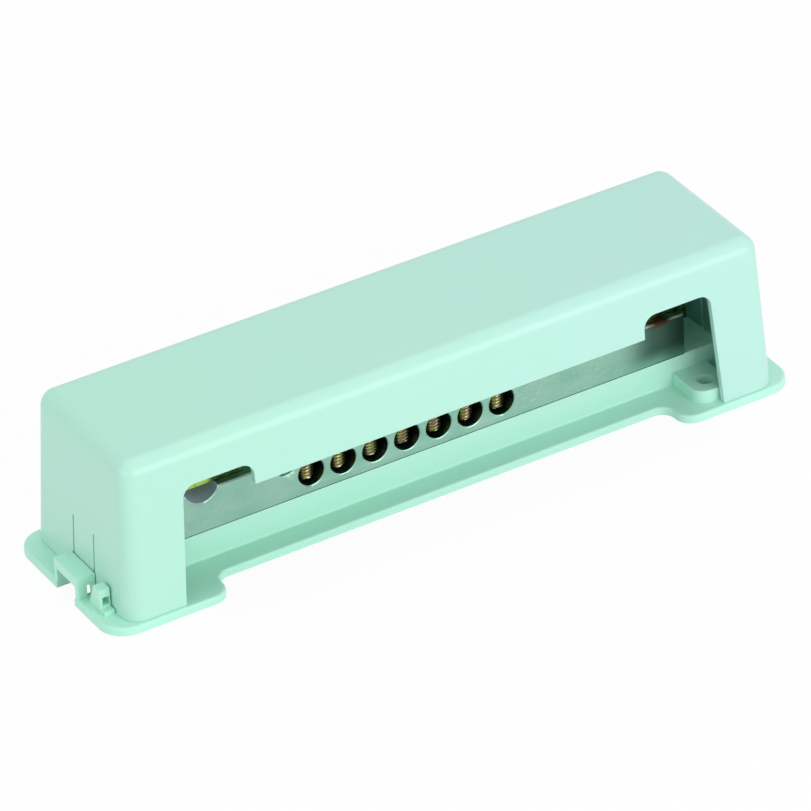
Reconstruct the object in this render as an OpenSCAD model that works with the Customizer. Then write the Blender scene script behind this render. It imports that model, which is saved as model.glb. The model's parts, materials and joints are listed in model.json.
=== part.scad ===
// Earth terminal bar: a drilled, nickel plated brass bar on a moulded foot, under a clip-on hood.
// X runs along the bar, -Y is the side the conductors enter, Z is up from the mounting surface.
// The origin is at the middle of the foot's underside.

/* [Foot] */
// Overall length of the foot
foot_l = 216; // [212:1:270]
// Overall depth over the four feet
foot_d = 55.6; // [54:0.2:70]
// How far the flange of the waist stands out in front of and behind the bar
waist_ledge = 7.5; // [6:0.1:9]
// Length of each end plate
end_plate_l = 36.5; // [32:0.5:40]
// Thickness of the flange
flange_t = 2.4; // [2:0.1:3.4]
// Radius of the four outer corners
foot_r = 8; // [4:0.5:12]
// Radius of the inner corners of the feet
heel_r = 5; // [2:0.5:6]
// Radius of the hollow fillet at the waist
waist_r = 4; // [1:0.5:4.5]
// Height of the platform that carries the bar
platform_h = 11; // [9:0.5:14]
// Radius of the fillet along the bottom of the platform
platform_fillet = 0.7; // [0.3:0.1:1.5]
// Clear space between the ends of the platform and the hood
platform_gap = 6.4; // [4:0.1:8]
// Moulded wall thickness of the foot
foot_wall = 2; // [1.6:0.1:2.6]
// Height of the fixing pads
pad_h = 6.2; // [4:0.1:8]
// Width of a fixing pad
pad_w = 11.4; // [10:0.1:14]
// Clear space between a fixing pad and the side wall of the hood
pad_gap = 0.8; // [0.6:0.1:1.4]
// Distance of the fixing holes from the ends of the platform
fix_in = 9.8; // [7:0.1:14]
// Diameter of the fixing holes
fix_d = 5; // [4:0.1:6]
// Pitch of the ribs under the platform
rib_pitch = 20; // [16:1:24]

/* [Bar] */
// Distance from the left end of the platform to the bar
bar_in_left = 7.3; // [4:0.1:8]
// Distance from the right end of the platform to the bar
bar_in_right = 11.3; // [8:0.1:14]
// Depth of the bar, front to back
bar_d = 21.4; // [20:0.1:27]
// Height of the bar
bar_h = 13; // [12:0.1:16]
// Chamfer along the top edges
bar_chamfer = 0.4; // [0.2:0.1:0.8]
// Number of conductor holes
holes = 7; // [1:1:7]
// Pitch of the conductor holes
hole_pitch = 10; // [9.5:0.1:11]
// Diameter of the conductor holes
hole_d = 8; // [6.8:0.1:9.6]
// Chamfer round the mouths of the wire holes and the groove
hole_chamfer = 0.3; // [0.1:0.1:0.5]
// Height of the hole centres above the underside of the bar
hole_z = 6.1; // [5:0.1:6.5]
// Distance of the first hole from the left end of the bar
first_hole = 50.2; // [47:0.1:54]
// Setback of the clamp screws from the front and rear faces
screw_setback = 4.8; // [4.5:0.1:5.8]
// Radius of the groove for a round conductor
groove_r = 5.2; // [4:0.1:6.3]
// Depth of that groove
groove_depth = 3.7; // [2:0.1:4]
// Distance of the groove from the left end of the bar
groove_in = 16.8; // [16:0.1:18]
// Diameter of the round dimple punched in the front face
dimple_d = 6; // [3:0.1:7]
// Depth of the dimple
dimple_depth = 0.8; // [0.4:0.1:1.2]
// Metal between the dimple and the first hole
dimple_gap = 0.7; // [0.5:0.1:2]

/* [Screws] */
// Thread diameter of the clamp and strap screws
thread_d = 6; // [5:0.1:7.2]
// Height of a clamp screw's head above the bar when it is screwed down
clamp_lift = 1.8; // [0.6:0.1:4]
// Head diameter of a clamp screw
clamp_head_d = 9; // [8:0.1:9.2]
// Head height of the slotted screws
head_h = 3.9; // [3:0.1:4.5]
// Slot width
slot_w = 1.6; // [1:0.1:2]
// Slot depth
slot_depth = 1.9; // [1:0.1:2.2]
// Head diameter of a strap screw
strap_head_d = 10; // [9:0.1:11]
// Metal left under the strap screws' tapped holes
tap_floor = 1; // [0.6:0.1:3]
// Thickness of a spring washer
washer_t = 1.6; // [1:0.1:2]
// Thread diameter of the two screws that hold the bar down
hold_d = 5; // [4:0.1:6]
// Head diameter of those screws
hold_head_d = 9.2; // [8:0.1:11]
// How far those screws reach into the bar
hold_depth = 7; // [5:0.1:9]

/* [Clamping straps] */
// Thickness of the straps
strap_t = 2.7; // [2:0.1:3.5]
// Width of the straps
strap_w = 16.5; // [14:0.1:18]
// How far the bent lip reaches down the end of the bar
lip_h = 3.4; // [2:0.1:5]
// Widest flat conductor that the long strap takes
strip_w = 30; // [20:1:36]
// Clear space from a conductor in a strap to its screws
strap_play = 0.35; // [0.2:0.05:1]

/* [Hood] */
// Width of the foot's rim outside the end walls of the hood
rim_end = 5.8; // [5:0.1:8]
// Width of the foot's rim outside the side walls of the hood
rim_side = 0.9; // [0.5:0.1:2]
// Height of the top of the hood above the mounting surface
hood_top = 49.6; // [46:0.2:70]
// Lean of the hood's walls, as run over rise
draft = 0.0587; // [0.02:0.001:0.08]
// Wall thickness of the hood
hood_wall = 2; // [1.5:0.1:2.5]
// Outer radius of the vertical corners
hood_r = 5.5; // [4:0.1:8]
// Outer radius of the top edges
hood_top_r = 4.8; // [3:0.1:6]
// Height of the closed front wall over the middle of the bar
front_band = 18.6; // [14:0.1:20]
// Height of the closed front wall over the two end windows
window_band = 11.8; // [8:0.1:13]
// Distance of the windows' inner edges from the ends of the hood
window_in = 41.1; // [36:0.1:46]
// Width of the hood's corner legs at the foot
leg_w = 17.3; // [15:0.1:20]
// Corner radius of the cut-out
cut_r = 3.8; // [2:0.1:5]

/* [Latches] */
// Sideways place of the latch at the left end
latch_y = -1.7; // [-2.5:0.1:2.5]
// How far the tongue is wider than the notch it stands behind, on each side
tongue_over = 0.3; // [0.1:0.1:1]
// Width of the slits beside the tongue
slit_w = 0.6; // [0.4:0.1:1]
// Height that the slits reach
slit_z = 20.6; // [16:0.1:26]
// Outer width of the latch bridge
bridge_w = 13.2; // [11:0.1:16]
// Height of the top of the bridge
bridge_z = 9; // [8:0.1:11]
// Thickness of the bridge plate
bridge_t = 3; // [2:0.1:3.5]
// Thickness of the bridge's side walls
bridge_wall = 1.6; // [1.2:0.1:2]
// Clearance between the latches and the hood, and round the hold screws
fit_gap = 0.2; // [0.1:0.05:0.4]
// Width of the sealing lug, measured out from the hood
lug_w = 3.2; // [2.8:0.1:4.5]
// Depth of the sealing lug, front to back, at its foot
lug_d = 7; // [6:0.1:8]
// Clear space between the sealing lug and the bridge
lug_gap = 1.7; // [0.5:0.1:3]
// Width of the sealing lug's hole
lug_hole = 2; // [1.5:0.1:2.4]

/* [Hidden] */
$fn = 48;
eps = 0.01;
thread_gap = 0.05;
platform_setback = 0.1;
platform_r = 2;
hold_head_h = 3;
clamp_nodes = [for (side = ["front", "rear"]) for (i = [1:holes]) str(side, "_screw_", i)];

mint = [0.71, 0.93, 0.86];
brass = [0.70, 0.72, 0.66];
steel = [0.78, 0.74, 0.45];

bar_z = platform_h;
bar_top = bar_z + bar_h;
hole_cz = bar_z + hole_z;
end_x = foot_l / 2;
heel_x = end_x - end_plate_l;
hood_l = foot_l - 2 * rim_end;
hood_d = foot_d - 2 * rim_side;
platform_l = hood_l - 2 * (hood_wall + platform_gap);
platform_d = bar_d - 2 * platform_setback;
bar_left = bar_in_left - platform_l / 2;
bar_right = platform_l / 2 - bar_in_right;
bar_l = bar_right - bar_left;
waist_d = bar_d + 2 * waist_ledge;
fix_x = platform_l / 2 - fix_in;
fix_y = hood_d / 2 - hood_wall - pad_gap - pad_w / 2;

first_hole_x = bar_left + first_hole;
screw_y = bar_d / 2 - screw_setback;
groove_x = bar_left + groove_in;
groove_cz = bar_top + groove_r - groove_depth;
dimple_x = first_hole_x - (hole_d + dimple_d) / 2 - dimple_gap;
dimple_z = bar_top - 2;

outer_screw_x = bar_right - thread_d / 2 - 2;
inner_screw_x = outer_screw_x - strip_w - thread_d - 2 * strap_play;
round_reach = groove_r + strap_play + thread_d / 2;
strap_xs = [groove_x - round_reach, groove_x + round_reach, inner_screw_x, outer_screw_x];
strap_edge = strap_head_d / 2 + 0.5;
tip_chamfer = thread_d / 8;
clamp_tip_z = thread_gap + max(bore_floor(thread_d / 2 - tip_chamfer),
                               bore_floor(thread_d / 2) - tip_chamfer);
clamp_l = bar_top + clamp_lift - clamp_tip_z;
strap_seat_z = bar_top + strap_t + washer_t;
tap_spare = 0.3;
strap_screw_l = strap_seat_z - bar_z - tap_floor - tap_spare;
hold_xs = [first_hole_x - hole_d / 2 - hold_head_d - 0.8, (inner_screw_x + outer_screw_x) / 2];
hold_seat_z = hold_head_h + 1.2;

notch_w = bridge_w - 2 * bridge_wall;
notch_in = platform_l / 2 + 1.2;
bracket_out = end_x - 0.4;
bracket_in = hood_l / 2 + fit_gap;
bridge_front = latch_y - bridge_w / 2;
tongue_w = notch_w + 2 * tongue_over;
barb_w = notch_w - 5 * fit_gap;
lug_y = bridge_front - lug_gap - lug_d;

cut_mid_z = hood_top - front_band;
cut_end_z = hood_top - window_band;
cut_in_x = hood_l / 2 - window_in;
cut_out_x = hood_l / 2 - leg_w;

// Height of the floor of a wire hole at a distance across from its axis.
function bore_floor(across) = hole_cz - sqrt(pow(hole_d / 2, 2) - pow(across, 2));

// ---- shapes shared by several pieces ----

module rounded_rect(l, d, r) {
    square([l - 2 * r, d], center = true);
    square([l, d - 2 * r], center = true);
    for (x = [-1, 1])
        for (y = [-1, 1])
            translate([x * (l / 2 - r), y * (d / 2 - r)]) circle(r);
}

// A slotted screw that stands on its tip: the underside of the head is at z = length.
module slotted_screw(d, length, head_d, head_z) {
    tip = d / 8;
    difference() {
        union() {
            rotate_extrude()
                polygon([[0, 0], [d / 2 - tip, 0], [d / 2, tip], [d / 2, length], [0, length]]);
            translate([0, 0, length])
                rotate_extrude()
                    polygon([[0, 0], [head_d / 2, 0], [head_d / 2, head_z - 0.5],
                             [head_d / 2 - 0.5, head_z], [0, head_z]]);
        }
        translate([-head_d, -slot_w / 2, length + head_z - slot_depth])
            cube([2 * head_d, slot_w, slot_depth + 1]);
    }
}

// Both ends of the foot and hood are alike when the part is turned half round.
module at_both_ends() {
    children();
    rotate([0, 0, 180]) children();
}

// ---- foot ----

module foot_outline() {
    square([2 * heel_x + 2, waist_d], center = true);
    for (side = [-1, 1])
        translate([side * (end_x - end_plate_l / 2), 0])
            end_plate_outline(side);
    for (side = [-1, 1])
        for (front = [-1, 1])
            translate([side * heel_x, front * waist_d / 2])
                waist_fillet(-side, front);
}

// One end plate with big corners at the end of the foot and smaller ones at the waist.
module end_plate_outline(side) {
    inner = side * -(end_plate_l / 2 - heel_r);
    outer = side * (end_plate_l / 2 - foot_r);
    square([end_plate_l, foot_d - 2 * foot_r], center = true);
    translate([(inner + outer) / 2, 0])
        square([abs(outer - inner), foot_d], center = true);
    for (front = [-1, 1]) {
        translate([outer, front * (foot_d / 2 - foot_r)]) circle(foot_r);
        translate([inner, front * (foot_d / 2 - heel_r)]) circle(heel_r);
        translate([side * -(end_plate_l / 2 - heel_r / 2), front * (foot_d / 2 - foot_r)])
            square([heel_r, 2 * (foot_r - heel_r)], center = true);
    }
}

// The hollow corner fillet between an end plate and the waist, growing towards (dx, dy).
module waist_fillet(dx, dy) {
    difference() {
        translate([dx * (waist_r - eps) / 2, dy * (waist_r - eps) / 2])
            square(waist_r + eps, center = true);
        translate([dx * waist_r, dy * waist_r]) circle(waist_r);
    }
}

// The long fillet between the platform's front face and the flange.
module long_fillet() {
    translate([platform_r - platform_l / 2, -platform_d / 2, flange_t])
        rotate([90, 0, 90])
            linear_extrude(platform_l - 2 * platform_r)
                difference() {
                    translate([-platform_fillet, -eps]) square(platform_fillet + eps);
                    translate([-platform_fillet, platform_fillet]) circle(platform_fillet);
                }
}

module latch_notch() {
    translate([-end_x - 1, latch_y - notch_w / 2, -1])
        cube([end_x + 1 - notch_in, notch_w, flange_t + 2]);
}

// The bridge that the hood's tongue snaps under, with the sealing hole in its front wall.
module latch_bridge() {
    difference() {
        translate([-bracket_out, bridge_front, 0])
            cube([bracket_out - bracket_in, bridge_w, bridge_z]);
        translate([-end_x - 1, bridge_front + bridge_wall, -1])
            cube([end_x + 1, notch_w, bridge_z - bridge_t + 1]);
        translate([-bracket_in - 2.4, bridge_front - 1, flange_t])
            cube([1.7, bridge_wall + 2, 3.8]);
    }
}

// The sealing lug stands in front of the bridge; its back slopes down to the flange.
module sealing_lug() {
    lug_top = bridge_z + 0.5;
    step_h = 1.4;
    difference() {
        translate([-bracket_in - lug_w, 0, 0])
            rotate([90, 0, 90])
                linear_extrude(lug_w)
                    polygon([[lug_y - 2.2, flange_t - eps], [lug_y - 2.2, flange_t + step_h],
                             [lug_y, flange_t + step_h], [lug_y, lug_top],
                             [lug_y + lug_d / 2, lug_top], [lug_y + lug_d, flange_t - eps]]);
        translate([-bracket_in - 0.4 - lug_hole, lug_y - 1, flange_t + 2.2])
            cube([lug_hole, lug_d + 2, 2.4]);
    }
}

module fixing_pad() {
    reach = fix_y + pad_w / 2 - bar_d / 2 + 1;
    translate([fix_x, -(fix_y + pad_w / 2 - reach / 2), 0])
        linear_extrude(pad_h) {
            translate([0, -reach / 2 + 4]) square([pad_w - 8, 8], center = true);
            translate([0, 2]) square([pad_w, reach - 4], center = true);
            for (x = [-1, 1])
                translate([x * (pad_w / 2 - 4), -reach / 2 + 4]) circle(4);
        }
}

module foot() {
    color(mint)
        difference() {
            union() {
                linear_extrude(flange_t) foot_outline();
                linear_extrude(platform_h) rounded_rect(platform_l, platform_d, platform_r);
                at_both_ends() {
                    long_fillet();
                    latch_bridge();
                    fixing_pad();
                }
                sealing_lug();
            }
            at_both_ends() {
                latch_notch();
                translate([fix_x, -fix_y, -1]) cylinder(h = pad_h + 2, d = fix_d);
            }
            platform_core();
            for (x = hold_xs)
                translate([x, 0, -1]) {
                    cylinder(h = platform_h + 2, d = hold_d + 2 * fit_gap);
                    cylinder(h = hold_seat_z + 1, d = hold_head_d + 4 * fit_gap);
                }
        }
}

// The platform is cored out from below between cross ribs, round a boss for each hold screw.
module platform_core() {
    core_l = platform_l - 2 * foot_wall;
    last_rib = (floor((core_l - foot_wall) / 2 / rib_pitch) - 0.5) * rib_pitch;
    core_d = platform_d - 2 * foot_wall;
    difference() {
        translate([0, 0, -1])
            linear_extrude(platform_h - foot_wall + 1) square([core_l, core_d], center = true);
        for (x = [-last_rib:rib_pitch:last_rib])
            translate([x - foot_wall / 2, -bar_d / 2, -2])
                cube([foot_wall, bar_d, platform_h]);
        for (x = hold_xs)
            translate([x, 0, hold_seat_z]) cylinder(h = platform_h, d = hold_head_d + 3);
    }
}

// ---- bar ----

// A hole right through the bar from front to back, with a chamfer at each mouth.
module chamfered_bore(r) {
    rotate([90, 0, 0]) {
        cylinder(h = bar_d + 2, r = r, center = true);
        for (side = [0, 1])
            mirror([0, 0, side])
                translate([0, 0, bar_d / 2 - hole_chamfer])
                    cylinder(h = 2 * hole_chamfer, r1 = r, r2 = r + 2 * hole_chamfer);
    }
}

module bar() {
    color(brass)
        difference() {
            translate([bar_left, 0, bar_z])
                rotate([90, 0, 90])
                    linear_extrude(bar_l)
                        polygon([[-bar_d / 2, 0], [bar_d / 2, 0],
                                 [bar_d / 2, bar_h - bar_chamfer],
                                 [bar_d / 2 - bar_chamfer, bar_h],
                                 [-bar_d / 2 + bar_chamfer, bar_h],
                                 [-bar_d / 2, bar_h - bar_chamfer]]);
            for (i = [0:holes - 1])
                translate([first_hole_x + i * hole_pitch, 0, hole_cz]) {
                    chamfered_bore(hole_d / 2);
                    for (side = [-1, 1])
                        translate([0, side * screw_y, 0])
                            cylinder(h = bar_h, d = thread_d + 2 * thread_gap);
                }
            translate([dimple_x, -bar_d / 2, dimple_z])
                rotate([90, 0, 0]) cylinder(h = 2 * dimple_depth, d = dimple_d, center = true);
            translate([groove_x, 0, groove_cz]) chamfered_bore(groove_r);
            for (x = strap_xs)
                translate([x, 0, bar_z + tap_floor])
                    cylinder(h = bar_h, d = thread_d + 2 * thread_gap);
            for (x = hold_xs)
                translate([x, 0, bar_z - 1])
                    cylinder(h = hold_depth + 1.5, d = hold_d + 2 * thread_gap);
        }
}

module clamp_screw(side, i) {
    color(steel)
        translate([first_hole_x + (i - 1) * hole_pitch, side * screw_y, clamp_tip_z])
            rotate([0, 0, 37 * i])
                slotted_screw(thread_d, clamp_l, clamp_head_d, head_h);
}

module hold_screw(i) {
    color(steel)
        translate([hold_xs[i - 1], 0, platform_h + hold_depth])
            mirror([0, 0, 1])
                slotted_screw(hold_d, platform_h + hold_depth - hold_seat_z, hold_head_d, hold_head_h);
}

// ---- clamping straps ----

// A strap that starts in the bend at x = 0, over the end of the bar, and runs on to x = reach.
// The bend turns down the end of the bar to a lip. The screw holes are at the given places.
module strap(reach, screws) {
    color(steel)
        difference() {
            union() {
                translate([0, -strap_w / 2, 0]) cube([reach, strap_w, strap_t]);
                rotate([90, 0, 0]) cylinder(h = strap_w, r = strap_t, center = true);
                translate([-strap_t, -strap_w / 2, -lip_h]) cube([strap_t, strap_w, lip_h]);
            }
            translate([0, -strap_w, -lip_h - 1]) cube([reach, 2 * strap_w, lip_h + 1]);
            for (x = screws)
                translate([x, 0, -1]) cylinder(h = strap_t + 2, d = thread_d + 0.6);
        }
}

module round_strap() {
    translate([bar_left, 0, bar_top])
        strap(strap_xs[1] + strap_edge - bar_left, [strap_xs[0] - bar_left, strap_xs[1] - bar_left]);
}

module flat_strap() {
    translate([bar_right, 0, bar_top])
        rotate([0, 0, 180])
            strap(bar_right - strap_xs[2] + strap_edge, [bar_right - strap_xs[3], bar_right - strap_xs[2]]);
}

module spring_washer(i) {
    split = 0.6;
    color(steel)
        translate([strap_xs[i - 1], 0, bar_top + strap_t])
            difference() {
                cylinder(h = washer_t, d = strap_head_d - 0.2);
                translate([0, 0, -1]) cylinder(h = washer_t + 2, d = thread_d + 0.3);
                rotate([0, 0, 50 * i])
                    translate([0, -split / 2, -1]) cube([strap_head_d, split, washer_t + 2]);
            }
}

module strap_screw(i) {
    color(steel)
        translate([strap_xs[i - 1], 0, strap_seat_z - strap_screw_l])
            rotate([0, 0, 23 * i])
                slotted_screw(thread_d, strap_screw_l, strap_head_d, head_h);
}

// ---- hood ----

// A leaning, round-cornered block: the outer form of the hood, or its inside at inset > 0.
module hood_block(inset) {
    base_z = flange_t;
    top_z = hood_top - inset;
    lean = draft * (hood_top - hood_top_r - base_z);
    r_low = hood_r - inset;
    r_top = hood_top_r - inset;
    hull()
        for (x = [-1, 1])
            for (y = [-1, 1]) {
                translate([x * (hood_l / 2 - hood_r), y * (hood_d / 2 - hood_r), base_z - inset])
                    cylinder(h = 0.01, r = r_low, $fn = 32);
                translate([x * (hood_l / 2 - lean - hood_top_r),
                           y * (hood_d / 2 - lean - hood_top_r), top_z - r_top])
                    sphere(r_top, $fn = 32);
            }
}

// Front cut-out: two high windows at the ends and a lower middle, open to the foot.
module front_cut() {
    lean_x = draft * (cut_end_z - flange_t);
    low = flange_t - cut_r - 1;
    translate([0, -hood_d / 4, 0])
        rotate([90, 0, 0])
            linear_extrude(hood_d)
                offset(r = cut_r) offset(delta = -cut_r)
                    polygon([[-cut_out_x, low], [-cut_out_x + lean_x, cut_end_z],
                             [-cut_in_x, cut_end_z], [-cut_in_x, cut_mid_z],
                             [cut_in_x, cut_mid_z], [cut_in_x, cut_end_z],
                             [cut_out_x - lean_x, cut_end_z], [cut_out_x, low]]);
}

// The tongue is the strip of end wall between two slits, with a barb under the bridge.
module tongue_slits() {
    for (side = [-1, 1])
        translate([-hood_l / 2 - 1, latch_y + side * (tongue_w + slit_w) / 2 - slit_w / 2, 0])
            cube([6 + draft * slit_z, slit_w, slit_z]);
    translate([-hood_l / 2 - 1, latch_y - tongue_w / 2 - eps, 0])
        cube([6, tongue_w + 2 * eps, flange_t + 0.6]);
}

module tongue_barb() {
    barb_top = bridge_z - bridge_t - fit_gap;
    wall_x = hood_l / 2 - draft * barb_top;
    translate([0, latch_y + barb_w / 2, 0])
        rotate([90, 0, 0])
            linear_extrude(barb_w)
                polygon([[-wall_x + 1, barb_top - 2.6], [-wall_x, barb_top - 2.6],
                         [-wall_x - 1.6, barb_top - 0.8], [-wall_x - 1.6, barb_top],
                         [-wall_x + 1, barb_top]]);
}

module hood() {
    color(mint) {
        difference() {
            hood_block(0);
            hood_block(hood_wall);
            front_cut();
            at_both_ends() tongue_slits();
        }
        at_both_ends() tongue_barb();
    }
}

foot();
bar();
hood();
round_strap();
flat_strap();
for (i = [1:2])
    hold_screw(i);
for (i = [1:holes]) {
    clamp_screw(-1, i);
    clamp_screw(1, i);
}
for (i = [1:4]) {
    strap_screw(i);
    spring_washer(i);
}
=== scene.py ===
import json
import math

import bmesh
import bpy
from mathutils import Matrix, Vector

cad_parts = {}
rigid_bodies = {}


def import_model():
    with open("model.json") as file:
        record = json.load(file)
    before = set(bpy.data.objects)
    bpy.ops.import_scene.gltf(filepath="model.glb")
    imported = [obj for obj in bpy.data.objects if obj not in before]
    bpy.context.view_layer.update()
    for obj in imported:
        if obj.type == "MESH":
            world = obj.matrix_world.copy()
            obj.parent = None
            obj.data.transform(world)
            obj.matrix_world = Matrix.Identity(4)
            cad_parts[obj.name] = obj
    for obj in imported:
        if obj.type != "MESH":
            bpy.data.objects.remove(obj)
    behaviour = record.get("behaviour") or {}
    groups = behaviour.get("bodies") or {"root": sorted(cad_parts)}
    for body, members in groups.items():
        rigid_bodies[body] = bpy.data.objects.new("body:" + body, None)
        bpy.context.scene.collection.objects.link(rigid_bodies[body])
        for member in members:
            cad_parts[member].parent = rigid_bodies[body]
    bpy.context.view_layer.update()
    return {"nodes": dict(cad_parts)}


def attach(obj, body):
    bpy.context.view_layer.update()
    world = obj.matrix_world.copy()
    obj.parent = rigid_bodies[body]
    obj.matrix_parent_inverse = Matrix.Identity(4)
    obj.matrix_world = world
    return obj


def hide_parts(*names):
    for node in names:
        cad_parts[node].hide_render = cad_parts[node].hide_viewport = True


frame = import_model()
MM = 0.001


# ---- The foot ----
# One moulding of mint green polystyrene: a waisted flange with rounded edges, the hollow platform
# that carries the bar, two fixing pads, a latch bridge at each end and a lug for a sealing wire.
# The bar is screwed to it from below, and then it is screwed to the wall through the pads.

foot_l, foot_d, flange_t = 216, 55.6, 2.4
heel_x, waist_y = 71.5, 18.2
platform_l, platform_d, platform_h = 187.6, 21.2, 11
pad_x, pad_y, pad_w, pad_h = 84, 18.4, 11.4, 6.2
fixing_r = 2.5
hold_xs = (-50.3, 59.15)
hold_seat_z, boss_r, hold_hole_r, hold_head_r = 4.2, 6.1, 2.7, 5
draft = 0.0587
latch_y, bridge_w, bridge_h = -1.7, 13.2, 9
bridge_out, bridge_in = 107.6, 102.4
notch_w, notch_end, tunnel_h = 10, 95, 6
lug_w = 3.2
beyond = 1


class Link:
    """An output in a node tree. Arithmetic on it adds Math nodes to the tree."""

    def __init__(self, graph, socket):
        self.graph = graph
        self.socket = socket

    def _math(self, operation, first, second):
        return self.graph.node("ShaderNodeMath", {"operation": operation}, {0: first, 1: second})

    def __add__(self, other):
        return self._math("ADD", self, other)

    def __radd__(self, other):
        return self._math("ADD", other, self)

    def __sub__(self, other):
        return self._math("SUBTRACT", self, other)

    def __rsub__(self, other):
        return self._math("SUBTRACT", other, self)

    def __mul__(self, other):
        return self._math("MULTIPLY", self, other)

    def __rmul__(self, other):
        return self._math("MULTIPLY", other, self)

    def __truediv__(self, other):
        return self._math("DIVIDE", self, other)

    def __rtruediv__(self, other):
        return self._math("DIVIDE", other, self)

    def __pow__(self, other):
        return self._math("POWER", self, other)

    def __rpow__(self, other):
        return self._math("POWER", other, self)

    def __gt__(self, other):
        return self._math("GREATER_THAN", self, other)

    def __lt__(self, other):
        return self._math("LESS_THAN", self, other)


class Graph:
    """A node tree that is written as expressions."""

    def __init__(self, tree):
        self.tree = tree
        tree.nodes.clear()

    def node(self, kind, settings=None, sockets=None, output=0):
        new = self.tree.nodes.new(kind)
        for name, value in (settings or {}).items():
            if name == "stops":
                ramp = new.color_ramp
                while len(ramp.elements) < len(value):
                    ramp.elements.new(0.5)
                for element, (place, colour) in zip(ramp.elements, value):
                    element.position = place
                    element.color = (*colour, 1)
            else:
                setattr(new, name, value)
        for key, value in (sockets or {}).items():
            if isinstance(value, Link):
                self.tree.links.new(value.socket, new.inputs[key])
            else:
                new.inputs[key].default_value = value
        return Link(self, new.outputs[output]) if new.outputs else None

    def maths(self, operation, *values):
        return self.node("ShaderNodeMath", {"operation": operation}, dict(enumerate(values)))

    def between(self, value, low, high):
        """0 below low, 1 above high, and a smooth step between them."""
        sockets = {"Value": value, "From Min": low, "From Max": high}
        return self.node("ShaderNodeMapRange", {"interpolation_type": "SMOOTHSTEP"}, sockets)


class Finish(Graph):
    """The node tree of a new material."""

    def __init__(self, name):
        self.material = bpy.data.materials.new(name)
        self.material.use_nodes = True
        super().__init__(self.material.node_tree)

    def position(self, scale=(1, 1, 1), place=(0, 0, 0)):
        """The point on the piece in millimetres from a place, with each axis scaled."""
        coords = self.node("ShaderNodeTexCoord", output="Object")
        sockets = {"Vector": coords, "Scale": [s / MM for s in scale],
                   "Location": [-p * s for p, s in zip(place, scale)]}
        return self.node("ShaderNodeMapping", {}, sockets)

    def axis(self, point, number):
        return self.node("ShaderNodeSeparateXYZ", {}, {0: point}, number)

    def noise(self, point, scale, detail=3, rough=0.55):
        sockets = {"Vector": point, "Scale": scale, "Detail": detail, "Roughness": rough}
        return self.node("ShaderNodeTexNoise", {}, sockets)

    def spot(self, place, size):
        """1 at a place on the piece, falling to 0 at the given distances along each axis."""
        away = self.position([1 / s for s in size], place)
        return 1 - self.node("ShaderNodeVectorMath", {"operation": "LENGTH"}, {0: away}, "Value")

    def ramp(self, value, stops):
        return self.node("ShaderNodeValToRGB", {"stops": stops}, {"Fac": value})

    def mix(self, factor, first, second):
        colours = [v if isinstance(v, Link) else (*v, 1) for v in (first, second)]
        sockets = {0: factor, 6: colours[0], 7: colours[1]}
        return self.node("ShaderNodeMix", {"data_type": "RGBA"}, sockets, 2)

    def bump(self, height, distance, normal=None):
        sockets = {"Height": height, "Distance": distance * MM, "Strength": 1.0}
        if normal:
            sockets["Normal"] = normal
        return self.node("ShaderNodeBump", {}, sockets)

    def surface(self, **sockets):
        """Ends the material in one Principled shader with these inputs."""
        names = {key.replace("_", " "): value for key, value in sockets.items()}
        shader = self.node("ShaderNodeBsdfPrincipled", {}, names)
        self.node("ShaderNodeOutputMaterial", {}, {"Surface": shader})
        return self.material


def polystyrene(name, left, right):
    """Mint polystyrene whose tint drifts a little from one end of a moulding to the other."""
    g = Finish(name)
    moulding_reach = 110
    point = g.position()
    cloud = g.noise(point, 0.035, 2)
    grain = g.noise(point, 2.2, 4)
    scuff = g.noise(g.position((0.4, 1.7, 1.7)), 0.9, 6, 0.7)
    drift = g.between(g.axis(point, 0), -moulding_reach, moulding_reach) * 0.7 + (cloud - 0.5) * 0.7 + 0.15
    colour = g.ramp(drift, [(0.0, left), (1.0, right)])
    rough = 0.26 + cloud * 0.06 + g.between(scuff, 0.58, 0.8) * 0.16
    normal = g.bump(grain, 0.010, g.bump(cloud, 0.3))
    return g.surface(Base_Color=colour, Roughness=rough, Normal=normal, Specular_IOR_Level=0.35)


# The foot's mint is a lighter copy of the hood's, as painted light.
foot_mint = polystyrene("foot_mint", (0.46, 0.86, 0.69), (0.50, 0.86, 0.72))


def arc(centre, radius, start, end, count=8):
    """Points along an arc in a flat outline, with the angles in degrees."""
    angles = [math.radians(start + (end - start) * i / count) for i in range(count + 1)]
    return [(centre[0] + radius * math.cos(a), centre[1] + radius * math.sin(a)) for a in angles]


def half_turned(points):
    return [(-x, -y) for x, y in points]


def stack(layers, axes=(0, 1, 2)):
    """A closed shell through like flat outlines at rising heights, given as (height, points).

    axes says which of an outline's two numbers, and the height, becomes x, y and z.
    """
    work = bmesh.new()
    rings = []
    for height, points in layers:
        spots = [(a, b, height) for a, b in points]
        rings.append([work.verts.new(Vector([s[i] for i in axes]) * MM) for s in spots])
    for low, high in zip(rings, rings[1:]):
        for i in range(len(low)):
            j = (i + 1) % len(low)
            work.faces.new([low[i], low[j], high[j], high[i]])
    work.faces.new(list(reversed(rings[0])))
    work.faces.new(rings[-1])
    bmesh.ops.recalc_face_normals(work, faces=work.faces)
    return work


def rounded(outline, low, high, edge, fillet=0):
    """A shell on an outline(inset), round at its top edge. A fillet joins it to the flange."""
    turns = [math.radians(22.5 * k) for k in range(5)]
    layers = [(low, outline(-fillet))]
    if fillet:
        layers += [(flange_t + fillet * (1 - math.cos(a)), outline(-fillet * (1 - math.sin(a))))
                   for a in turns]
    layers += [(high - edge * (1 - math.sin(a)), outline(edge * (1 - math.cos(a)))) for a in turns]
    return stack(layers)


def soften(work, edges, radius, steps=2, clamped=False):
    bmesh.ops.bevel(work, geom=edges, offset=radius * MM, segments=steps, profile=0.5,
                    affect="EDGES", clamp_overlap=clamped)


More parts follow.
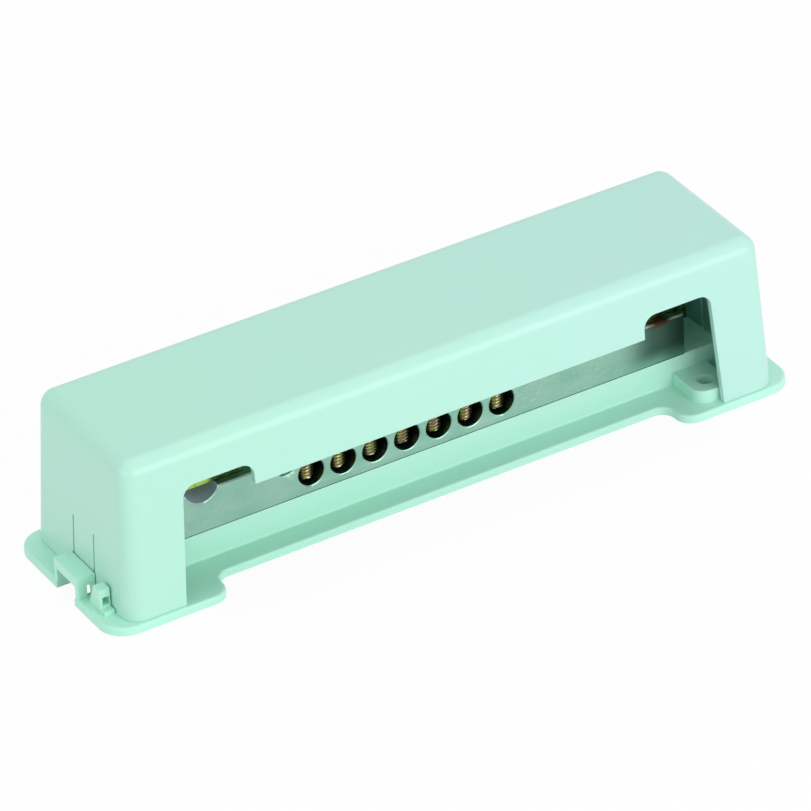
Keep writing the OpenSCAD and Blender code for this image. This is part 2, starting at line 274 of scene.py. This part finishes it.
def block(low, high):
    work = bmesh.new()
    bmesh.ops.create_cube(work, size=1)
    for v in work.verts:
        v.co = Vector([a if c < 0 else b for a, b, c in zip(low, high, v.co)]) * MM
    return work


def rod(x, y, radius, low, high):
    """An upright round bar, as a boss or as the cutter of a hole."""
    circle = arc((x, y), radius, 0, 360, 48)[:-1]
    return stack([(low, circle), (high, circle)])


def turned(work):
    """The shell turned half round about the middle of the object."""
    other = work.copy()
    bmesh.ops.rotate(other, verts=other.verts, matrix=Matrix.Rotation(math.pi, 3, "Z"))
    return other


def new_object(name, work, collection=None):
    """A new object with the shell that is under work."""
    mesh = bpy.data.meshes.new(name)
    work.to_mesh(mesh)
    work.free()
    thing = bpy.data.objects.new(name, mesh)
    (collection or bpy.context.scene.collection).objects.link(thing)
    return thing


def applied(piece):
    """Turns the piece with its modifiers into one plain mesh."""
    graph = bpy.context.evaluated_depsgraph_get()
    plain = bpy.data.meshes.new_from_object(piece.evaluated_get(graph))
    plain.name = piece.name
    piece.modifiers.clear()
    piece.data = plain


def carved(name, start, *steps):
    """The start shell, after each step has added or cut its shells in turn."""
    piece = new_object(name, start)
    for operation, shells in steps:
        group = bpy.data.collections.new(f"{name}_{operation}")
        bpy.context.scene.collection.children.link(group)
        tools = [new_object(f"{name}_tool", shell, group) for shell in shells]
        change = piece.modifiers.new(operation, "BOOLEAN")
        change.operation = operation
        change.operand_type = "COLLECTION"
        change.collection = group
        change.solver = "MANIFOLD"
        applied(piece)
        for tool in tools:
            bpy.data.objects.remove(tool)
        bpy.data.collections.remove(group)
    return piece


def finished(piece, material, slot, *nodes, sharp=35):
    """Smooths the piece between its sharp edges and puts it in place of its CAD nodes."""
    mesh = piece.data
    for polygon in mesh.polygons:
        polygon.use_smooth = True
    mesh.set_sharp_from_angle(angle=math.radians(sharp))
    flats = piece.modifiers.new("flats", "WEIGHTED_NORMAL")
    flats.keep_sharp = True
    applied(piece)
    piece.data.materials.clear()
    piece.data.materials.append(material)
    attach(piece, "root")
    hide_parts(*nodes)


def flange_outline(inset):
    foot_r, heel_r, waist_r = 8, 5, 4
    out_x, out_y = foot_l / 2 - foot_r, foot_d / 2
    front = arc((heel_x - waist_r, -waist_y - waist_r), waist_r + inset, 90, 0)
    front += arc((heel_x + heel_r, heel_r - out_y), heel_r - inset, 180, 270)
    front += arc((out_x, foot_r - out_y), foot_r - inset, 270, 360)
    end = front + [(x, -y) for x, y in reversed(front)]
    return end + half_turned(end)


def platform_outline(inset):
    corner = 2
    x, y = platform_l / 2 - corner, platform_d / 2 - corner
    end = arc((x, -y), corner - inset, 270, 360) + arc((x, y), corner - inset, 0, 90)
    return end + half_turned(end)


def pad_outline(inset):
    corner = 4
    into_platform = -9.7
    left, right = pad_x - pad_w / 2, pad_x + pad_w / 2
    front = pad_w / 2 + pad_y
    outer = arc((left + corner, corner - front), corner - inset, 180, 270)
    outer += arc((right - corner, corner - front), corner - inset, 270, 360)
    return outer + [(right - inset, into_platform), (left + inset, into_platform)]


def latch_bridge():
    """The bridge before its tunnel is cut. Its inner end follows the leaning wall of the hood."""
    low_y = latch_y - bridge_w / 2
    work = block((-bridge_out, low_y, 0), (-bridge_in, low_y + bridge_w, bridge_h))
    soften(work, work.edges[:], 0.25)
    middle = -(bridge_out + bridge_in) / 2
    for v in work.verts:
        if v.co.x > middle * MM:
            v.co.x += draft * max(0, v.co.z - flange_t * MM)
    return work


def sealing_lug():
    """The lug in front of the left bridge, with a step in front and a sloping back."""
    side = [(-19.2, 1), (-10, 1), (-13.5, 9.5), (-17, 9.5), (-17, 3.8), (-19.2, 3.8)]
    work = stack([(-bridge_in - lug_w, side), (-bridge_in, side)], (2, 0, 1))
    soften(work, work.edges[:], 0.2)
    return work


def core_bays():
    """The hollows under the platform, between its cross ribs."""
    wall, rib, pitch, ribs = 2, 2, 20, 8
    x_end, y_side, roof = platform_l / 2 - wall, platform_d / 2 - wall, platform_h - wall
    middles = [pitch * (k - (ribs - 1) / 2) for k in range(ribs)]
    starts = [-x_end] + [x + rib / 2 for x in middles]
    ends = [x - rib / 2 for x in middles] + [x_end]
    return [block((a, -y_side, -beyond), (b, y_side, roof)) for a, b in zip(starts, ends)]


notch = block((-foot_l / 2 - beyond, latch_y - notch_w / 2, -beyond),
              (-notch_end, latch_y + notch_w / 2, tunnel_h))
bridge_window = block((-104.8, -9.3, flange_t), (-103.1, -5.7, 6.2))
lug_window = block((-104.8, -20, 4.6), (-102.8, -9, 7))
fixing_hole = rod(pad_x, -pad_y, fixing_r, -beyond, pad_h + beyond)
foot = carved(
    "moulded_foot",
    rounded(flange_outline, 0, flange_t, 0.8),
    ("UNION", [rounded(platform_outline, 1, platform_h, 0.3, 0.7), sealing_lug(),
               rounded(pad_outline, 1, pad_h, 0.4), turned(rounded(pad_outline, 1, pad_h, 0.4)),
               latch_bridge(), turned(latch_bridge())]),
    ("DIFFERENCE", [turned(notch), notch, turned(bridge_window), bridge_window,
                    turned(fixing_hole), fixing_hole, lug_window, *core_bays()]),
    ("UNION", [rod(x, 0, boss_r, hold_seat_z, platform_h - 1) for x in hold_xs]),
    ("DIFFERENCE", [rod(x, 0, hold_hole_r, -beyond, platform_h + beyond) for x in hold_xs]
                   + [rod(x, 0, hold_head_r, -beyond, hold_seat_z) for x in hold_xs]))
finished(foot, foot_mint, "foot_plastic", "foot")


# ---- The bar ----
# Drawn brass bar, nickel plated after it is drilled and tapped. The wire holes run front to back
# and each has two tapped holes from above. Two screws from under the foot hold it down.

bar_left, bar_right, bar_front = -86.5, 82.5, -10.7
bar_low, bar_top = 11, 24
groove_x, groove_z, groove_r = -69.7, 25.5, 5.4


def nickel(name):
    """Satin nickel with fine grain and marks, a green painted reflection, painted shade and highlights."""
    g = Finish(name)
    place = g.position()
    x, y, z = (g.axis(place, k) for k in range(3))
    drawn = g.noise(g.position((0.03, 5, 5)), 1.0, 5, 0.65)
    speckle = g.noise(place, 3.5, 4, 0.7)
    cloud = g.noise(g.position((0.6, 1, 1)), 0.16, 3)
    # Fine scratches to the right of the wire holes.
    hairs = g.noise(g.position((0.5, 1, 9), (40, 0, 0)), 0.8, 2, 0.4)
    scratch = g.between(hairs, 0.66, 0.70) * g.between(g.spot((42, bar_front, 17), (22, 9, 7)), 0, 0.4)
    # A brown patch at the right end of the top edge, and a yellow-green mark in the dimple.
    brown = g.spot((75, bar_front, 24.2), (6.5, 4, 2.6)) + (cloud - 0.5) * 1.2
    mark = g.spot((-44.5, bar_front, 22.2), (2.2, 3, 1.3)) + (speckle - 0.5)
    # The green tint of the plating is a painted reflection of the mint plastic round the bar.
    colour = g.ramp(cloud, [(0.3, (0.24, 0.50, 0.38)), (0.7, (0.32, 0.56, 0.45))])
    colour = g.mix(g.between(speckle, 0.52, 0.7) * 0.35, colour, (0.60, 0.74, 0.66))
    # Painted shade where little light gets in: the right end, the bores and the seam along the bottom.
    painted_end_shade = g.between(x, 60, 73) * g.between(z, 10, 16) * g.between(0 - y, 10.2, 10.6)
    colour = g.mix(painted_end_shade * 0.82, colour, (0.03, 0.06, 0.05))
    inside = (g.maths("ABSOLUTE", y) < -bar_front - 0.35) * (z < bar_top - 0.1)
    seam = g.between(bar_low + 0.35 - z, 0, 0.2)
    colour = g.mix(g.maths("MAXIMUM", inside, seam) * 0.85, colour, (0.02, 0.035, 0.03))
    # Painted highlights where the metal catches the light: the groove and the front top edge.
    endless = 1e6
    groove = g.spot((groove_x, 0, groove_z), (groove_r, endless, groove_r)) > 0
    colour = g.mix(groove * (0.5 + cloud * 0.6), colour, (0.70, 0.80, 0.98))
    rim = (z > bar_top - 0.42) * (y < bar_front + 0.5)
    colour = g.mix(rim * 0.8, colour, (0.92, 0.98, 0.95))
    colour = g.mix(g.between(brown, 0.15, 0.6), colour, (0.11, 0.055, 0.035))
    colour = g.mix(g.between(mark, 0.1, 0.5), colour, (0.42, 0.52, 0.10))
    colour = g.mix(scratch * 0.6, colour, (0.75, 0.85, 0.80))
    rough = 0.27 + drawn * 0.12 + speckle * 0.08 - scratch * 0.12 - groove * 0.12
    normal = g.bump(drawn, 0.008, g.bump(speckle, 0.014, g.bump(scratch, 0.012)))
    return g.surface(Base_Color=colour, Roughness=rough, Metallic=1 - groove * 0.85, Normal=normal)


def merged_copy(node, name):
    """A CAD node's own mesh with its corners merged, for smooth bores."""
    mesh = frame["nodes"][node].data.copy()
    mesh.transform(frame["nodes"][node].matrix_world)
    work = bmesh.new()
    work.from_mesh(mesh)
    bmesh.ops.remove_doubles(work, verts=work.verts, dist=0.002 * MM)
    return new_object(name, work)


bar = merged_copy("bar", "terminal_bar")
finished(bar, nickel("nickel_plate"), "bar_metal", "bar", sharp=25)


# ---- The screws ----
# Slotted steel screws, turned and rolled, then yellow chromated. Fourteen clamp the conductors,
# four hold the straps and two, from under the foot, hold the bar. All have real threads.

def chromate(name, tones, rough, painted_light_end=-1000):
    """Patchy chromate. To the left of the given end, if one is given, it has the last tones, as painted
    light.
    """
    g = Finish(name)
    left_of = g.between(painted_light_end - g.axis(g.position(), 0), -2, 2)
    sheen = g.noise(g.position(), 0.5, 3, 0.6)
    fine = g.noise(g.position(), 2.5, 4, 0.6)
    colour = g.ramp(sheen + (fine - 0.5) * 0.25 + left_of * 0.4, tones)
    normal = g.bump(fine, 0.008)
    return g.surface(Base_Color=colour, Roughness=rough + fine * 0.14, Metallic=1.0, Normal=normal)


YELLOW, OLIVE, PINK = (0.42, 0.44, 0.17), (0.24, 0.34, 0.14), (0.40, 0.29, 0.28)
gold = chromate("yellow_chromate", [(0.30, OLIVE), (0.45, YELLOW), (0.60, PINK), (0.72, YELLOW)], 0.14)


class Maker(Graph):
    """A Geometry Nodes tree with named sizes, in millimetres."""

    def __init__(self, name, *sizes):
        super().__init__(bpy.data.node_groups.new(name, "GeometryNodeTree"))
        interface = self.tree.interface
        interface.new_socket("Geometry", in_out="OUTPUT", socket_type="NodeSocketGeometry")
        self.ids = {}
        for size in sizes:
            socket = interface.new_socket(size, in_out="INPUT", socket_type="NodeSocketFloat")
            self.ids[size] = socket.identifier

    def size(self, name):
        return self.node("NodeGroupInput", output=name)

    def vector(self, x=0.0, y=0.0, z=0.0):
        return self.node("ShaderNodeCombineXYZ", {}, {0: x, 1: y, 2: z})

    def moved(self, geometry, place=(0, 0, 0), turn=(0, 0, 0), scale=(1, 1, 1)):
        sockets = {"Geometry": geometry, "Translation": place, "Rotation": turn, "Scale": scale}
        return self.node("GeometryNodeTransform", {}, sockets)

    def joined(self, *parts):
        whole = self.node("GeometryNodeJoinGeometry", {}, {0: parts[0]})
        for part in parts[1:]:
            self.tree.links.new(part.socket, whole.socket.node.inputs[0])
        return whole

    def revolved(self, around, rows, shape):
        """A closed skin: shape(u, v) gives the turn, the radius and the height of each point."""
        grid = {"Size X": 1.0, "Size Y": 1.0, "Vertices X": around + 1, "Vertices Y": rows}
        mesh = self.node("GeometryNodeMeshGrid", {}, grid)
        place = self.node("GeometryNodeInputPosition")
        u, v = (self.node("ShaderNodeSeparateXYZ", {}, {0: place}, k) + 0.5 for k in (0, 1))
        turn, radius, height = shape(u, v)
        x, y = radius * self.maths("COSINE", turn), radius * self.maths("SINE", turn)
        spot = self.vector(x, y, height)
        mesh = self.node("GeometryNodeSetPosition", {}, {"Geometry": mesh, "Position": spot})
        return self.node("GeometryNodeMergeByDistance", {}, {"Geometry": mesh, "Distance": 0.002})

    def along_row(self, geometry):
        """Copies along a row in X, each turned a little more than the one before."""
        line = {"Count": self.size("Count"), "Offset": self.vector(self.size("Spacing")),
                "Start Location": self.vector(self.size("X"), self.size("Y"), self.size("Z"))}
        points = self.node("GeometryNodeMeshLine", {}, line)
        index = self.node("GeometryNodeInputIndex")
        turn = self.vector(0.0, 0.0, self.size("First turn") + index * self.size("Next turn"))
        copies = {"Points": points, "Instance": geometry, "Rotation": turn}
        return self.node("GeometryNodeInstanceOnPoints", {}, copies)

    def end(self, geometry, material):
        real = self.node("GeometryNodeRealizeInstances", {}, {"Geometry": geometry})
        real = self.moved(real, scale=(MM, MM, MM))
        real = self.node("GeometryNodeSetMaterial", {}, {"Geometry": real, "Material": material})
        self.node("NodeGroupOutput", {}, {0: real})

    def make(self, name, **sizes):
        """A plain mesh piece of this tree at these sizes."""
        piece = bpy.data.objects.new(name, bpy.data.meshes.new(name))
        bpy.context.scene.collection.objects.link(piece)
        modifier = piece.modifiers.new("made", "NODES")
        modifier.node_group = self.tree
        for size, value in sizes.items():
            modifier[self.ids[size.replace("_", " ")]] = float(value)
        applied(piece)
        return piece


ROW = ("X", "Y", "Z", "Spacing", "Count", "First turn", "Next turn")


def slotted_screws(material):
    """A screw that stands on its tip, with a rolled thread and a slotted cheese head."""
    m = Maker("slotted_screws", "Thread", "Pitch", "Length", "Head", "Head height", "Tilt", *ROW)
    radius, length, pitch = m.size("Thread") / 2, m.size("Length"), m.size("Pitch")
    thread_depth, lead_in, lead_depth, squareness = 0.6, 0.9, 0.75, 0.16
    slot_l, slot_w, slot_depth = 14, 1.6, 1.9
    around, rows_a_turn = 48, 8

    def thread(u, v):
        up = v * length
        # The whole 50 keeps the number above 0. The first and last rows shrink to a point.
        turn = m.maths("FRACT", up / pitch - u + 50.0)
        flank = m.between(m.maths("ABSOLUTE", turn - 0.5) * 2.0, 0.12, 0.9)
        point = m.maths("MAXIMUM", 1 - up / lead_in, 0.0) ** 2.0
        off_ends = (v > 0.0005) * (v < 0.9995)
        out = (radius - flank * pitch * thread_depth - point * lead_depth) * off_ends
        return u * math.tau, out, up

    def cheese(u, v):
        swing = (v - 0.5) * math.pi
        rise = m.maths("SINE", swing)
        out = m.maths("MAXIMUM", m.maths("COSINE", swing), 0.0) ** squareness
        up = m.maths("SIGN", rise) * m.maths("ABSOLUTE", rise) ** squareness
        return u * math.tau, m.size("Head") / 2 * out, m.size("Head height") * (up + 1) / 2

    shank = m.revolved(around, length / pitch * rows_a_turn + 1, thread)
    slot = m.node("GeometryNodeMeshCube", {}, {"Size": (slot_l, slot_w, 2 * slot_depth)})
    slot = m.moved(slot, m.vector(0.0, 0.0, m.size("Head height")))
    head = m.node("GeometryNodeMeshBoolean", {"operation": "DIFFERENCE", "solver": "MANIFOLD"},
                  {0: m.revolved(64, 27, cheese), 1: slot})
    head = m.moved(head, m.vector(0.0, 0.0, length))
    screw = m.moved(m.joined(shank, head), turn=m.vector(m.size("Tilt")))
    m.end(m.along_row(screw), material)
    return m


screws = slotted_screws(gold)
first_hole_x, hole_pitch, holes, screw_y = -36.3, 10, 7, 5.9
strap_screw_xs = (-78.25, -61.15, 40.8, 77.5)
crisp = 42

clamp = dict(Thread=6, Pitch=1, Length=11.96, Head=9, Head_height=3.9, Z=13.84, X=first_hole_x,
             Spacing=hole_pitch, Count=holes, First_turn=math.radians(37), Next_turn=math.radians(37))
for row, y in (("front", -screw_y), ("rear", screw_y)):
    clamps = screws.make(f"{row}_clamp_screws", Y=y, **clamp)
    nodes = [f"{row}_screw_{i}" for i in range(1, holes + 1)]
    finished(clamps, gold, "screw_steel", *nodes, sharp=crisp)

strap_screw = dict(Thread=6, Pitch=1, Length=16, Head=10, Head_height=3.9, Z=12.3, Count=2,
                   Next_turn=math.radians(23))
for kind, k in (("round", 1), ("flat", 3)):
    x, next_x = strap_screw_xs[k - 1:k + 1]
    pair = screws.make(f"{kind}_strap_screws", X=x, Spacing=next_x - x,
                       First_turn=math.radians(23 * k), **strap_screw)
    finished(pair, gold, "screw_steel", f"strap_screw_{k}", f"strap_screw_{k + 1}", sharp=crisp)

hold_screws = screws.make("hold_screws", Thread=5, Pitch=0.8, Length=13.8, Head=9.2, Head_height=3,
                          Tilt=math.pi, X=hold_xs[0], Z=18, Spacing=hold_xs[1] - hold_xs[0], Count=2)
finished(hold_screws, gold, "screw_steel", "hold_screw_1", "hold_screw_2", sharp=crisp)


# ---- The spring washers ----
# Rings of square steel wire, split and slightly sprung, that keep the strap screws tight.

def split_rings(material):
    """A ring of square wire whose one end stands a little higher than the other."""
    m = Maker("split_rings", "Radius", "Wire width", "Thickness", "Lift", *ROW)
    ring = m.node("GeometryNodeCurveArc", {}, {"Resolution": 72, "Radius": m.size("Radius"),
                                               "Sweep Angle": math.radians(353)})
    wire = m.node("GeometryNodeCurvePrimitiveQuadrilateral", {},
                  {"Width": m.size("Wire width"), "Height": m.size("Thickness") - m.size("Lift")})
    wire = m.node("GeometryNodeFilletCurve", {}, {"Curve": wire, "Radius": 0.15})
    ring = m.node("GeometryNodeCurveToMesh", {}, {0: ring, "Profile Curve": wire, "Fill Caps": True})
    place = m.node("GeometryNodeInputPosition")
    x, y = (m.node("ShaderNodeSeparateXYZ", {}, {0: place}, k) for k in (0, 1))
    round_way = m.maths("ARCTAN2", 0 - y, 0 - x) / math.tau
    rise = m.vector(0.0, 0.0, round_way * m.size("Lift"))
    ring = m.node("GeometryNodeSetPosition", {}, {"Geometry": ring, "Offset": rise})
    m.end(m.along_row(ring), material)
    return m


rings = split_rings(gold)
ring = dict(Radius=4.03, Wire_width=1.75, Thickness=1.6, Lift=0.25, Z=27.5, Count=2,
            Next_turn=math.radians(50))
for side, k in (("left", 1), ("right", 3)):
    x, next_x = strap_screw_xs[k - 1:k + 1]
    pair = rings.make(f"{side}_spring_washers", X=x, Spacing=next_x - x,
                      First_turn=math.radians(50 * k), **ring)
    finished(pair, gold, "screw_steel", f"spring_washer_{k}", f"spring_washer_{k + 1}", sharp=crisp)


# ---- The clamping straps ----
# Cut from steel strip, pierced for two screws and bent down over the end of the bar, then
# yellow chromated. The short one presses a round conductor into the groove, the long one a tape.

# Chromate, dark olive as painted shade, and yellow green as painted light on the left half of the short
# strap.
strap_gold_painted_light = chromate("strap_chromate", [(0.35, (0.04, 0.06, 0.035)), (0.6, (0.12, 0.17, 0.06)),
                                         (0.8, (0.36, 0.60, 0.10))], 0.24, painted_light_end=-66)


def strap(name, node, end_x, way, screw_xs):
    """A strap bent down over the bar's end at end_x. It runs on to the right where way is 1."""
    thick, lip, width, hole_r, past_screw = 2.7, 3.4, 16.5, 3.3, 5.5
    reach = max(abs(x - end_x) for x in screw_xs) + past_screw
    side = [(reach, 0), (reach, thick)] + arc((0, 0), thick, 90, 180) + [(-thick, -lip), (0, -lip), (0, 0)]
    points = [(end_x + way * x, bar_top + z) for x, z in side]
    work = stack([(-width / 2, points), (width / 2, points)], (0, 2, 1))
    long_edges = [e for e in work.edges if abs(e.verts[0].co.y - e.verts[1].co.y) < MM]
    soften(work, long_edges, 0.3, steps=3, clamped=True)
    cuts = [rod(x, 0, hole_r, bar_top - beyond, bar_top + thick + beyond) for x in screw_xs]
    piece = carved(name, work, ("DIFFERENCE", cuts))
    finished(piece, strap_gold_painted_light, "strap_steel", node)


strap("short_strap", "round_strap", bar_left, 1, strap_screw_xs[:2])
strap("long_strap", "flat_strap", bar_right, -1, strap_screw_xs[:1:-1])


# ---- The hood ----
# A thin walled moulding of the same polystyrene, leaning walls and round edges, that snaps over
# the foot. Its front is cut away for the conductors, higher over the two strap clamps. A tongue
# between two slits in each end wall carries the barb that catches under the foot's bridge.

hood_l, hood_d, hood_top, hood_wall = 204.4, 53.8, 49.6, 2
hood_corner_r, hood_top_r, hood_edge_r = 5.5, 4.8, 0.22

mint = polystyrene("mint_polystyrene", (0.45, 0.80, 0.65), (0.475, 0.775, 0.70))


def front_outline(half_low, half_high, low, high):
    """The flat front wall, from its lower left corner round to the cut-out and back."""
    window_z, middle_z = 37.8, 31.0
    window_out, window_in = 84.9, 61.1
    r, tuck = 3.8, 1.06
    top_out = window_out - draft * (window_z - low)
    slope = math.degrees(math.atan(draft))
    path = [(window_out, low)] + arc((top_out - r * tuck, window_z - r), r, slope, 90, 10)
    path += arc((window_in + r, window_z - r), r, 90, 180, 10) + [(window_in, middle_z)]
    mirrored = [(-x, z) for x, z in reversed(path)]
    return [(-half_low, low), (-half_high, high), (half_high, high), (half_low, low)] + path + mirrored


def end_outline(half_low, half_high, low, high):
    """A flat end wall, with the slits beside the tongue."""
    half_tongue, slit, slit_top, tongue_foot = 5.3, 0.6, 20.6, 3.0
    inner, outer = half_tongue, half_tongue + slit
    path = [(outer, low), (outer, slit_top), (inner, slit_top), (inner, tongue_foot),
            (-inner, tongue_foot), (-inner, slit_top), (-outer, slit_top), (-outer, low)]
    wall = [(-half_low, low), (-half_high, high), (half_high, high), (half_low, low)]
    return wall + [(latch_y + y, z) for y, z in path]


def hood_skin(work, inset):
    """The outer skin of the hood, or the inner one at inset > 0, as faces of new points."""
    low, high = flange_t, hood_top - inset
    corner_low, corner_high = hood_corner_r - inset, hood_top_r - inset
    wall_top = high - corner_high
    steps, rises, least_r = 10, 8, 0.02
    shift = draft * (wall_top - low)
    hx, hy = hood_l / 2 - inset, hood_d / 2 - inset

    def ring(drop, radius, z):
        points = []
        for cx, cy, start in ((1, 1, 0), (-1, 1, 90), (-1, -1, 180), (1, -1, 270)):
            centre = (cx * (hx - drop - radius), cy * (hy - drop - radius))
            for x, y in arc(centre, radius, start, start + 90, steps):
                points.append(work.verts.new(Vector((x, y, z)) * MM))
        return points

    rings = [ring(0, corner_low, low), ring(shift, corner_high, wall_top)]
    for i in range(1, rises + 1):
        turn = math.radians(90 * i / rises)
        drop = corner_high * (1 - math.cos(turn))
        radius = max(corner_high * math.cos(turn), least_r)
        rings.append(ring(shift + drop, radius, wall_top + corner_high * math.sin(turn)))
    faces = []
    count = len(rings[0])
    for k in range(len(rings) - 1):
        for i in range(count):
            j = (i + 1) % count
            if k or i % (steps + 1) != steps:
                faces.append([rings[k][i], rings[k][j], rings[k + 1][j], rings[k + 1][i]])
    faces.append(list(rings[-1]))

    def wall(index, outline, place):
        """Fills wall number index with an outline whose first four points are its corners."""
        i = index * (steps + 1) + steps
        j = (i + 1) % count
        corners = rings[0][i], rings[0][j], rings[1][j], rings[1][i]
        points = []
        for s, z in outline:
            spot = Vector(place(s, (z - low) * draft, z)) * MM
            near = [v for v in corners if (v.co - spot).length < 0.01 * MM]
            points.append(near[0] if near else work.verts.new(spot))
        faces.append(points)

    low_x, high_x = hx - corner_low, hx - shift - corner_high
    low_y, high_y = hy - corner_low, hy - shift - corner_high
    back = [(low_x, low), (-low_x, low), (-high_x, wall_top), (high_x, wall_top)]
    end = end_outline(low_y, high_y, low, wall_top)
    wall(0, back, lambda s, in_, z: (s, hy - in_, z))
    wall(1, end, lambda s, in_, z: (in_ - hx, s, z))
    wall(2, front_outline(low_x, high_x, low, wall_top), lambda s, in_, z: (s, in_ - hy, z))
    wall(3, end, lambda s, in_, z: (hx - in_, -s, z))
    return faces


def hood_shell():
    """Both skins of the hood, joined round the rims. A sharp edge's weight is its rounding."""
    work = bmesh.new()
    outer = hood_skin(work, 0)
    inner = hood_skin(work, hood_wall)
    for points in outer:
        work.faces.new(points)
    twin = {p: q for a, b in zip(outer, inner) for p, q in zip(a, b)}
    rims = [edge for edge in work.edges if len(edge.link_faces) == 1]
    for points in inner:
        work.faces.new(list(reversed(points)))
    for edge in rims:
        p, q = edge.verts
        work.faces.new([p, q, twin[q], twin[p]])
    bmesh.ops.remove_doubles(work, verts=work.verts, dist=0.001 * MM)
    bmesh.ops.recalc_face_normals(work, faces=work.faces)
    layer = work.edges.layers.float.new("bevel_weight_edge")
    sharp = math.radians(50)
    for edge in work.edges:
        if edge.calc_face_angle(0) > sharp:
            edge[layer] = hood_edge_r
    return work


def tongue_barb():
    """The wedge on the outside of the tongue, flat on top and sloping below."""
    top, height, reach, lip, width, inside = 5.8, 2.6, 1.6, 0.8, 9, 1
    skin = hood_l / 2 - draft * top
    side = [(inside - skin, top - height), (inside - skin, top), (-skin - reach, top),
            (-skin - reach, top - lip), (-skin, top - height)]
    return stack([(latch_y - width / 2, side), (latch_y + width / 2, side)], (0, 2, 1))


hood = new_object("snap_hood", hood_shell())
bevel = hood.modifiers.new("edges", "BEVEL")
bevel.limit_method = "WEIGHT"
bevel.width = 1 * MM
bevel.segments = 3
bevel.use_clamp_overlap = False
applied(hood)
whole = bmesh.new()
whole.from_mesh(hood.data)
bpy.data.objects.remove(hood)
hood = carved("snap_hood", whole, ("UNION", [tongue_barb(), turned(tongue_barb())]))
finished(hood, mint, "hood_plastic", "hood")


# ---- Floor, light and camera ----
# A pale floor under soft studio light. The floor and the world show as white to the camera and in
# reflections, and the floor keeps the shadow.

def seen_directly(g):
    """1 for what the camera sees, by itself or in a reflection or through glass, else 0."""
    kinds = ("Is Camera Ray", "Is Glossy Ray", "Is Transmission Ray")
    return sum((g.node("ShaderNodeLightPath", output=kind) for kind in kinds), 0)


def pale_floor():
    g = Finish("pale_floor")
    plain = g.node("ShaderNodeBsdfDiffuse", {}, {"Color": (0.95, 0.95, 0.95, 1)})
    white = g.node("ShaderNodeEmission", {}, {"Color": (1, 1, 1, 1), "Strength": 1.0})
    # The rest of the diffuse floor keeps the shadow in view.
    shown = g.node("ShaderNodeMixShader", {}, {0: seen_directly(g) * 0.93, 1: plain, 2: white})
    g.node("ShaderNodeOutputMaterial", {}, {"Surface": shown})
    return g.material


sheet = bmesh.new()
bmesh.ops.create_grid(sheet, x_segments=1, y_segments=1, size=3)
floor = new_object("floor", sheet)
floor.data.materials.append(pale_floor())

world = bpy.data.worlds.new("studio")
bpy.context.scene.world = world
world.use_nodes = True
sky = Graph(world.node_tree)
background = sky.node("ShaderNodeBackground", {},
                      {"Color": (1, 1, 1, 1), "Strength": 0.6 + seen_directly(sky) * 0.4})
sky.node("ShaderNodeOutputWorld", {}, {"Surface": background})


def soft_lamp(name, place, size, power):
    """A soft box that faces the object."""
    light = bpy.data.lights.new(name, "AREA")
    light.shape = "RECTANGLE"
    light.size, light.size_y = size
    light.energy = power
    lamp = bpy.data.objects.new(name, light)
    bpy.context.scene.collection.objects.link(lamp)
    lamp.location = place
    lamp.rotation_euler = (-Vector(place)).to_track_quat("-Z", "Y").to_euler()


soft_lamp("front_box", (0.35, -1.35, 0.5), (1.2, 0.8), 10)
soft_lamp("top_box", (0.1, 0.25, 1.4), (1.2, 1.0), 4.5)
soft_lamp("left_box", (-1.35, -0.2, 0.6), (0.9, 0.7), 3.1)

camera_data = bpy.data.cameras.new("camera")
camera_data.sensor_width = 36
camera_data.lens = 307.1
camera_data.clip_end = 10
camera = bpy.data.objects.new("camera", camera_data)
bpy.context.scene.collection.objects.link(camera)
aim = Vector((0.40794, 0.73026, -0.54801))
level = aim.cross(Vector((0, 0, 1))).normalized()
right = Matrix.Rotation(math.radians(3.19), 3, aim) @ level
up = right.cross(aim)
facing = Matrix((right, up, -aim)).transposed().to_4x4()
camera.matrix_world = Matrix.Translation((-0.76602, -1.37056, 1.04791)) @ facing
bpy.context.scene.camera = camera
bpy.context.scene.view_settings.view_transform = "Standard"
